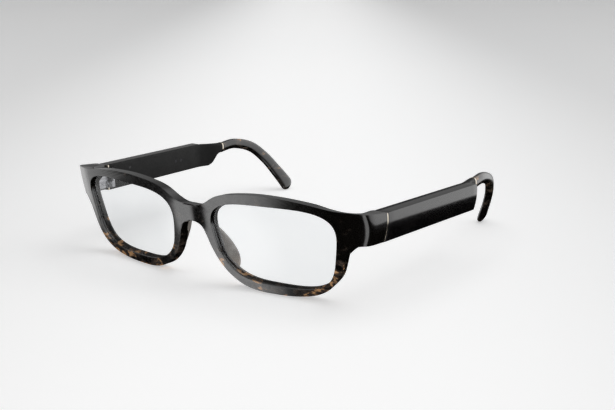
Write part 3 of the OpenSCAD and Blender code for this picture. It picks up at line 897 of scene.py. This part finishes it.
# ---- temples ----
def housing_ring(y, x_in, inset, corner):
    """The housing's section at y, drawn in by inset, with rounded outer corners."""
    arc = 6
    top, low = -inset, -HOUSING_H + inset

    def outer_x(z):
        return -inset - (z - CREST_Z) ** 2 / (2 * CREST_R)

    radius = max(corner - inset, 0.04)
    ring = [(x_in + 0.08, low), (x_in, low + 0.08)]
    ring += [(x_in, low + (top - low) * k / 6) for k in range(1, 6)]
    ring += [(x_in, top - 0.08), (x_in + 0.08, top)]
    cx, cz = outer_x(top) - radius, top - radius
    ring += [((x_in + cx) / 2, top)]
    ring += [(cx + radius * math.sin(a), cz + radius * math.cos(a))
             for a in (math.pi / 2 * k / arc for k in range(arc + 1))]
    for k in range(1, 14):
        z = cz + (low + radius - cz) * k / 14
        ring.append((outer_x(z), z))
    cx, cz = outer_x(low + radius) - radius, low + radius
    ring += [(cx + radius * math.cos(a), cz - radius * math.sin(a))
             for a in (math.pi / 2 * k / arc for k in range(arc + 1))]
    ring += [((x_in + cx) / 2, low)]
    return [(x, y, z) for x, z in ring]


def bar_rings(y1, y2, x_in, corner, round_end, steps):
    """Rings of a stretch of housing whose two ends are rounded over by round_end."""
    turns = [math.pi / 2 * k / 4 for k in range(5)]
    rows = [(y1 + round_end * (1 - math.sin(a)), round_end * (1 - math.cos(a)))
            for a in reversed(turns)]
    rows += [(y1 + round_end + (y2 - y1 - 2 * round_end) * k / steps, 0)
             for k in range(1, steps)]
    rows += [(y2 - round_end * (1 - math.sin(a)), round_end * (1 - math.cos(a)))
             for a in turns]
    return [housing_ring(y, x_in, inset, corner) for y, inset in rows]


def build_shell(name, side):
    """The outer shell: hollow, with its sound slots, microphone port and button openings."""
    place = temple_place(side)
    obj = loft("gloss_" + name, bar_rings(0, SHELL_L, SPLIT_X, 0.55, 0.22, 16), place, side)
    cutters = [box_cutter((SPLIT_X - 1, CAVITY_Y1, WALL - HOUSING_H),
                          (CAVITY_X, CAVITY_Y2, -WALL), place, side)]
    for y in SLOT_YS:
        cutters.append(box_cutter(
            (UNDER_X - SLOT_W / 2 - SLOT_LEDGE, y - SLOT_L / 2 - SLOT_LEDGE, -HOUSING_H - 1),
            (UNDER_X + SLOT_W / 2 + SLOT_LEDGE, y + SLOT_L / 2 + SLOT_LEDGE, 0.43 - HOUSING_H),
            place, side))
        cutters.append(box_cutter(
            (UNDER_X - SLOT_W / 2, y - SLOT_L / 2, -HOUSING_H),
            (UNDER_X + SLOT_W / 2, y + SLOT_L / 2, 1.5 - HOUSING_H), place, side))
    cutters.append(round_cutter((UNDER_X, MIC_Y, -HOUSING_H - 1), "Z", MIC_R, 3, place, side, 24))
    if side < 0:
        cutters.append(round_cutter((UNDER_X, BUTTON_Y, -HOUSING_H - 1), "Z", BUTTON_HOLE_R, 3,
                                    place, side, 48))
        cutters.append(box_cutter(
            (UNDER_X - ROCKER_HALF_W, ROCKER_Y - ROCKER_HALF_L, -HOUSING_H - 1),
            (UNDER_X + ROCKER_HALF_W, ROCKER_Y + ROCKER_HALF_L, 2 - HOUSING_H), place, side))
    cut(obj, cutters)
    return finish_piece(obj, body_of(side), [name], GLOSS, 32)


COVER_IN = [
    (-6.6, -20), (-6.6, 0), (-6.6, 30), (-6.6, 60), (-6.6, 66), (-7.2, 69.3), (-8.6, 73.5),
    (-10.2, 78), (-10.95, NECK_END), (-11, 88),
]
COVER_OUT = [
    (SPLIT_X, -20), (SPLIT_X, 0), (SPLIT_X, 40), (SPLIT_X, 68.4), (-4.66, 69.1), (-5.1, 71.8),
    (-6.4, 75.6), (-7.2, 79), (-7.45, NECK_END), (-7.4, 88),
]
COVER_LOW = [
    (-11.4, -20), (-11.4, 0), (-11.4, 40), (-11.4, 70), (-11.3, 73), (-10.3, 75.2),
    (-8.6, 76.6), (-6.8, 78), (-5.75, 79.6), (-5.5, NECK_END), (-5.5, 88),
]
COVER_TOP = [(0, -20), (0, 0), (0, 50), (0, 66), (-0.35, 74), (-0.5, NECK_END), (-0.3, 88)]


def build_cover(name, side):
    """The inner lid, which runs on into the neck, lofted along the temple."""
    rails = []
    for line in (COVER_IN, COVER_OUT, COVER_LOW, COVER_TOP):
        rails.append([(y, v) for v, y in smooth(line, 10)])
    ys = [0.0, 0.1, 0.3] + [2 + 4 * k for k in range(16)]
    ys += [64 + 0.5 * k for k in range(1, 35)] + [NECK_END]
    rings, around = [], 40
    for y in ys:
        x_in, x_out, low, top = (along(r, y)[0] for r in rails)
        inset = {0.0: 0.2, 0.1: 0.06}.get(y, 0.0)
        share = ease((y - 69) / 13)
        cx, cz = (x_in + x_out) / 2, (low + top) / 2
        hw, hh = (x_out - x_in) / 2 - inset, (top - low) / 2 - inset
        rings.append(rounded_ring(cx, y, cz, hw, hh, around, share))
    place = temple_place(side)
    obj = loft("satin_" + name, rings, place, side)
    cutters = [box_cutter((-5.7, CAVITY_Y1, WALL - HOUSING_H),
                          (SPLIT_X + 1, CAVITY_Y2, -WALL), place, side)]
    hinge = hinge_place(side)
    cutters.append(round_cutter((0, 0, -0.4), "Z", KNUCKLE_R + 0.4, HINGE_H + 0.8, hinge, side))
    cutters.append(box_cutter((1.85, 1.97, 0.47), (3.2, 9.03, HINGE_H - 0.47), hinge, side))
    cutters.append(box_cutter((0.4, 0.3, 2.8), (2.9, 3.4, 5.6), hinge, side))
    for y in CONTACT_YS:
        cutters.append(round_cutter((-7.2, y, CONTACT_Z), "X", CONTACT_HOLE_R, 2.0, place, side))
    if side < 0:
        cutters.append(round_cutter((-7.2, LIGHT_Y, LIGHT_Z), "X", LIGHT_HOLE_R, 2.0, place,
                                    side))
    cut(obj, cutters)
    return finish_piece(obj, body_of(side), [name], SATIN, 32)


def rounded_ring(cx, y, cz, hw, hh, around, share):
    """A rounded rectangle whose corners get rounder as share goes to 1."""
    corner = min(0.3 + 1.1 * share, hw, hh)
    quarter = around // 4
    ring = []
    for j in range(around):
        q, k = divmod(j, quarter)
        a = math.pi / 2 * (q + k / (quarter - 1))
        sx = 1 if q in (0, 3) else -1
        sz = 1 if q in (0, 1) else -1
        x = cx + sx * (hw - corner) + corner * math.cos(a)
        z = cz + sz * (hh - corner) + corner * math.sin(a)
        ring.append((x, y, z))
    return ring


def oval(cx, y, cz, w, h, power, count):
    return [(cx + w / 2 * sharpen(math.cos(2 * math.pi * j / count), power), y,
             cz + h / 2 * sharpen(math.sin(2 * math.pi * j / count), power))
            for j in range(count)]


def build_ring(name, side):
    """The thin metal ring, rounded at its rims, with the wire's hole."""
    count, y0, y1 = 48, NECK_END + 0.01, NECK_END + RING_T - 0.01
    edge = 0.14
    rings = [oval(RING_X, y, RING_Z, WIRE_HOLE, WIRE_HOLE, 1, count) for y in (y0, y1)]
    for y, less in ((y1, edge), (y1 - edge * 0.3, edge * 0.3), (y1 - edge, 0),
                    (y0 + edge, 0), (y0 + edge * 0.3, edge * 0.3), (y0, edge)):
        rings.append(oval(RING_X, y, RING_Z, NECK_W + 0.24 - 2 * less,
                          NECK_H + 0.24 - 2 * less, 0.72, count))
    obj = loft("band_" + name, rings, temple_place(side), side, hoop=True)
    return finish_piece(obj, body_of(side), [name], CHAMPAGNE, 40)


def tip_frames(steps):
    """Points of the tip's centre line with their directions."""
    path = [Vector(p) for p in smooth(TIP_LINE, steps)]
    out = []
    for i, point in enumerate(path):
        ahead = path[min(i + 1, len(path) - 1)] - path[max(i - 1, 0)]
        out.append((point, ahead.normalized()))
    out[0] = (path[0], Vector((0, 1, 0)))
    end = (Vector(TIP_LINE[-1]) - Vector(TIP_LINE[-3])).normalized()
    out[-1] = (path[-1], end)
    return out


def tip_ring(point, ahead, w, h, count, power=0.84):
    across = (Vector((1, 0, 0)) - ahead * ahead.x).normalized()
    up = across.cross(ahead)
    return [tuple(point + across * (w / 2 * sharpen(math.cos(2 * math.pi * j / count), power))
                  + up * (h / 2 * sharpen(math.sin(2 * math.pi * j / count), power)))
            for j in range(count)]


def build_tip(name, side):
    """The ear tip with the blind hole of its wire, a taller end and a rounded cap."""
    count = 32
    frames = tip_frames(9)
    last = len(frames) - 1
    wire_end = last - 6
    rings = [tip_ring(*frames[i], WIRE_HOLE, WIRE_HOLE, count, 1)
             for i in range(wire_end, -1, -3)]
    first_point, first_dir = frames[0]
    rings.append(tip_ring(first_point, first_dir, NECK_W - 0.4, NECK_H - 0.4, count))
    rings.append(tip_ring(first_point + first_dir * 0.06, first_dir, NECK_W - 0.1,
                          NECK_H - 0.1, count))
    for i in range(1, last + 1):
        w = NECK_W - TIP_LESS * i / last
        h = NECK_H + TIP_SPREAD * (i / last) ** 2.2
        rings.append(tip_ring(*frames[i], w, h, count))
    end_point, end_dir = frames[last]
    for k in range(1, 8):
        a = math.pi / 2 * k / 8
        rings.append(tip_ring(
            end_point + end_dir * TIP_CAP * math.sin(a), end_dir,
            (NECK_W - TIP_LESS) * math.cos(a), (NECK_H + TIP_SPREAD) * math.cos(a), count))
    obj = loft("tortoise_" + name, rings, temple_place(side), side)
    return finish_piece(obj, body_of(side), [name], TIP, 50)


def build_plate(name, side):
    """The metal plate that closes an end piece, notched round the hinge."""
    place = temple_place(side)
    rings = bar_rings(-PLATE_T - JOINT_GAP, -JOINT_GAP, -HOUSING_W, 0.55, 0.09, 2)
    obj = loft("polished_" + name, rings, place, side)
    notch = round_cutter((0, 0, -0.3), "Z", KNUCKLE_R + 0.2, HINGE_H + 0.6,
                         hinge_place(side), side)
    cut(obj, [notch])
    return finish_piece(obj, "front", [name], CHAMPAGNE, 32)


def body_of(side):
    return "temple_left" if side > 0 else "temple_right"


build_front()
for side_name, side in SIDES.items():
    build_lens("lens_" + side_name, side)
    build_pad("nose_pad_" + side_name, side)
    build_plate("trim_plate_" + side_name, side)
    build_shell("temple_shell_" + side_name, side)
    build_cover("temple_cover_" + side_name, side)
    build_ring("end_ring_" + side_name, side)
    build_tip("ear_tip_" + side_name, side)


# ---- small parts that keep their CAD shape ----
for node_name, node_object in nodes.items():
    for polygon in node_object.data.polygons:
        polygon.use_smooth = False


# ---- stage ----
# The floor glows a little, most along one line and less to both sides of it.
FLOOR_ACROSS = (0.829, 0.559, 0.0)


def build_floor():
    """A pale floor that rises behind in one soft sweep."""
    rows = [(-3.0, 0.0), (3.0, 0.0)]
    rows += [(3.0 + 1.5 * math.sin(a), 1.5 - 1.5 * math.cos(a))
             for a in (math.pi / 2 * k / 12 for k in range(1, 13))]
    rows.append((4.5, 4.0))
    verts = [(x, y, z) for y, z in rows for x in (-5.0, 5.0)]
    faces = [(2 * i, 2 * i + 1, 2 * i + 3, 2 * i + 2) for i in range(len(rows) - 1)]
    data = bpy.data.meshes.new("floor")
    data.from_pydata(verts, [], faces)
    for polygon in data.polygons:
        polygon.use_smooth = True
    floor = bpy.data.objects.new("floor", data)
    bpy.context.scene.collection.objects.link(floor)
    look = Look("floor_white", Roughness=0.9)
    look.shader.inputs["Specular IOR Level"].default_value = 0.1
    cloud = look.ranged(look.noise(2.0, 1.0), 0.2, 0.8)
    look.colour(look.mixed(cloud, (0.88, 0.885, 0.89), (0.9, 0.9, 0.9)))
    sideways = look.node("ShaderNodeVectorMath", operation="DOT_PRODUCT")
    look.link(look.place, sideways.inputs[0])
    sideways.inputs[1].default_value = FLOOR_ACROSS
    away = look.math("ABSOLUTE", sideways.outputs["Value"], 0.0)
    glow = look.ranged(away, 0.02, 0.3, 0.46, 0.2)
    look.shader.inputs["Emission Color"].default_value = (1.0, 1.0, 1.0, 1.0)
    look.link(glow, look.shader.inputs["Emission Strength"])
    data.materials.append(look.material)
    floor.visible_glossy = False


# Directions as (x, y, z) from the glasses. The big screen is a window of light behind the
# wearer's left: its light starts at SCREEN_LOW and SCREEN_SIDE. Each card is a direction, the
# cosines of its full and its outer half angle, and its strength.
SKY_LIGHT = 0.16
SCREEN_LOW, SCREEN_SIDE, SCREEN_LIGHT = (-0.285, -0.25), (-0.35, 0.25), 0.95
LEFT_LOW, LEFT_HIGH, LEFT_SIDE, LEFT_LIGHT = (-0.45, -0.40), (0.05, -0.15), (-0.68, -0.80), 0.78
CARDS = [
    ((-0.515, -0.655, -0.552), 0.9994, 0.967, 1.9),
    ((0.72, -0.45, -0.53), 0.985, 0.965, 1.5),
]


def build_world():
    """Studio surroundings: dim overall, with one big screen of light and a few cards."""
    world = bpy.data.worlds.new("studio")
    bpy.context.scene.world = world
    world.use_nodes = True
    tree = world.node_tree
    back = tree.nodes["Background"]
    coords = tree.nodes.new("ShaderNodeTexCoord")
    way = coords.outputs["Generated"]

    def joined(operation, first, second):
        made = tree.nodes.new("ShaderNodeMath")
        made.operation = operation
        for socket, value in zip(made.inputs, (first, second)):
            if isinstance(value, (int, float)):
                socket.default_value = value
            else:
                tree.links.new(value, socket)
        return made.outputs[0]

    def ramp(value, low, high, power):
        made = tree.nodes.new("ShaderNodeMapRange")
        made.interpolation_type = "SMOOTHSTEP"
        made.inputs["From Min"].default_value = low
        made.inputs["From Max"].default_value = high
        made.inputs["To Max"].default_value = power
        tree.links.new(value, made.inputs["Value"])
        return made.outputs["Result"]

    split = tree.nodes.new("ShaderNodeSeparateXYZ")
    tree.links.new(way, split.inputs[0])
    axes = split.outputs
    screen = joined("MULTIPLY", ramp(axes["Z"], *SCREEN_LOW, SCREEN_LIGHT),
                    ramp(axes["X"], *SCREEN_SIDE, 1.0))
    screen = joined("MULTIPLY", screen, ramp(axes["Y"], -0.1, 0.4, 1.0))
    left = joined("MULTIPLY", ramp(axes["Z"], *LEFT_LOW, LEFT_LIGHT),
                  ramp(axes["X"], *LEFT_SIDE, 1.0))
    left = joined("MULTIPLY", left, ramp(axes["Z"], *LEFT_HIGH, 1.0))
    light = joined("ADD", joined("ADD", screen, left), ramp(axes["Z"], -0.4, 0.1, SKY_LIGHT))
    for direction, near, far, power in CARDS:
        dot = tree.nodes.new("ShaderNodeVectorMath")
        dot.operation = "DOT_PRODUCT"
        tree.links.new(way, dot.inputs[0])
        dot.inputs[1].default_value = Vector(direction).normalized()
        light = joined("ADD", light, ramp(dot.outputs["Value"], far, near, power))
    tree.links.new(light, back.inputs["Strength"])
    back.inputs["Color"].default_value = (1.0, 1.0, 1.0, 1.0)


def build_lights():
    """Soft lamps over the floor, left out of reflections, which the world makes."""
    def area(name, spot, target, size, energy):
        data = bpy.data.lights.new(name, "AREA")
        data.shape = "DISK"
        data.size = size
        data.energy = energy
        lamp = bpy.data.objects.new(name, data)
        lamp.location = spot
        aim = Vector(target) - Vector(spot)
        lamp.rotation_euler = aim.to_track_quat("-Z", "Y").to_euler()
        lamp.visible_glossy = False
        bpy.context.scene.collection.objects.link(lamp)

    area("overhead", (0.05, 0.0, 1.0), (0, 0, 0), 1.3, 1.3)
    area("wide", (0.0, 0.3, 2.6), (0, 0.3, 0), 3.5, 11.0)


CAMERA_LENS, CAMERA_SENSOR = 56.0, 36.0
CAMERA_AT = Vector((239.8, -271.8 + FRONT_Y, 128.4))
CAMERA_TURN, CAMERA_DOWN = math.radians(34.03), math.radians(14.95)


def build_camera():
    """The camera stands to the wearer's left front, looking slightly down."""
    data = bpy.data.cameras.new("camera")
    data.lens = CAMERA_LENS
    data.sensor_width = CAMERA_SENSOR
    data.clip_start = 0.01
    camera = bpy.data.objects.new("camera", data)
    camera.location = CAMERA_AT * MM
    camera.rotation_euler = (math.pi / 2 - CAMERA_DOWN, 0, CAMERA_TURN)
    bpy.context.scene.collection.objects.link(camera)
    bpy.context.scene.camera = camera


build_floor()
build_world()
build_lights()
build_camera()
bpy.context.scene.view_settings.view_transform = "Standard"
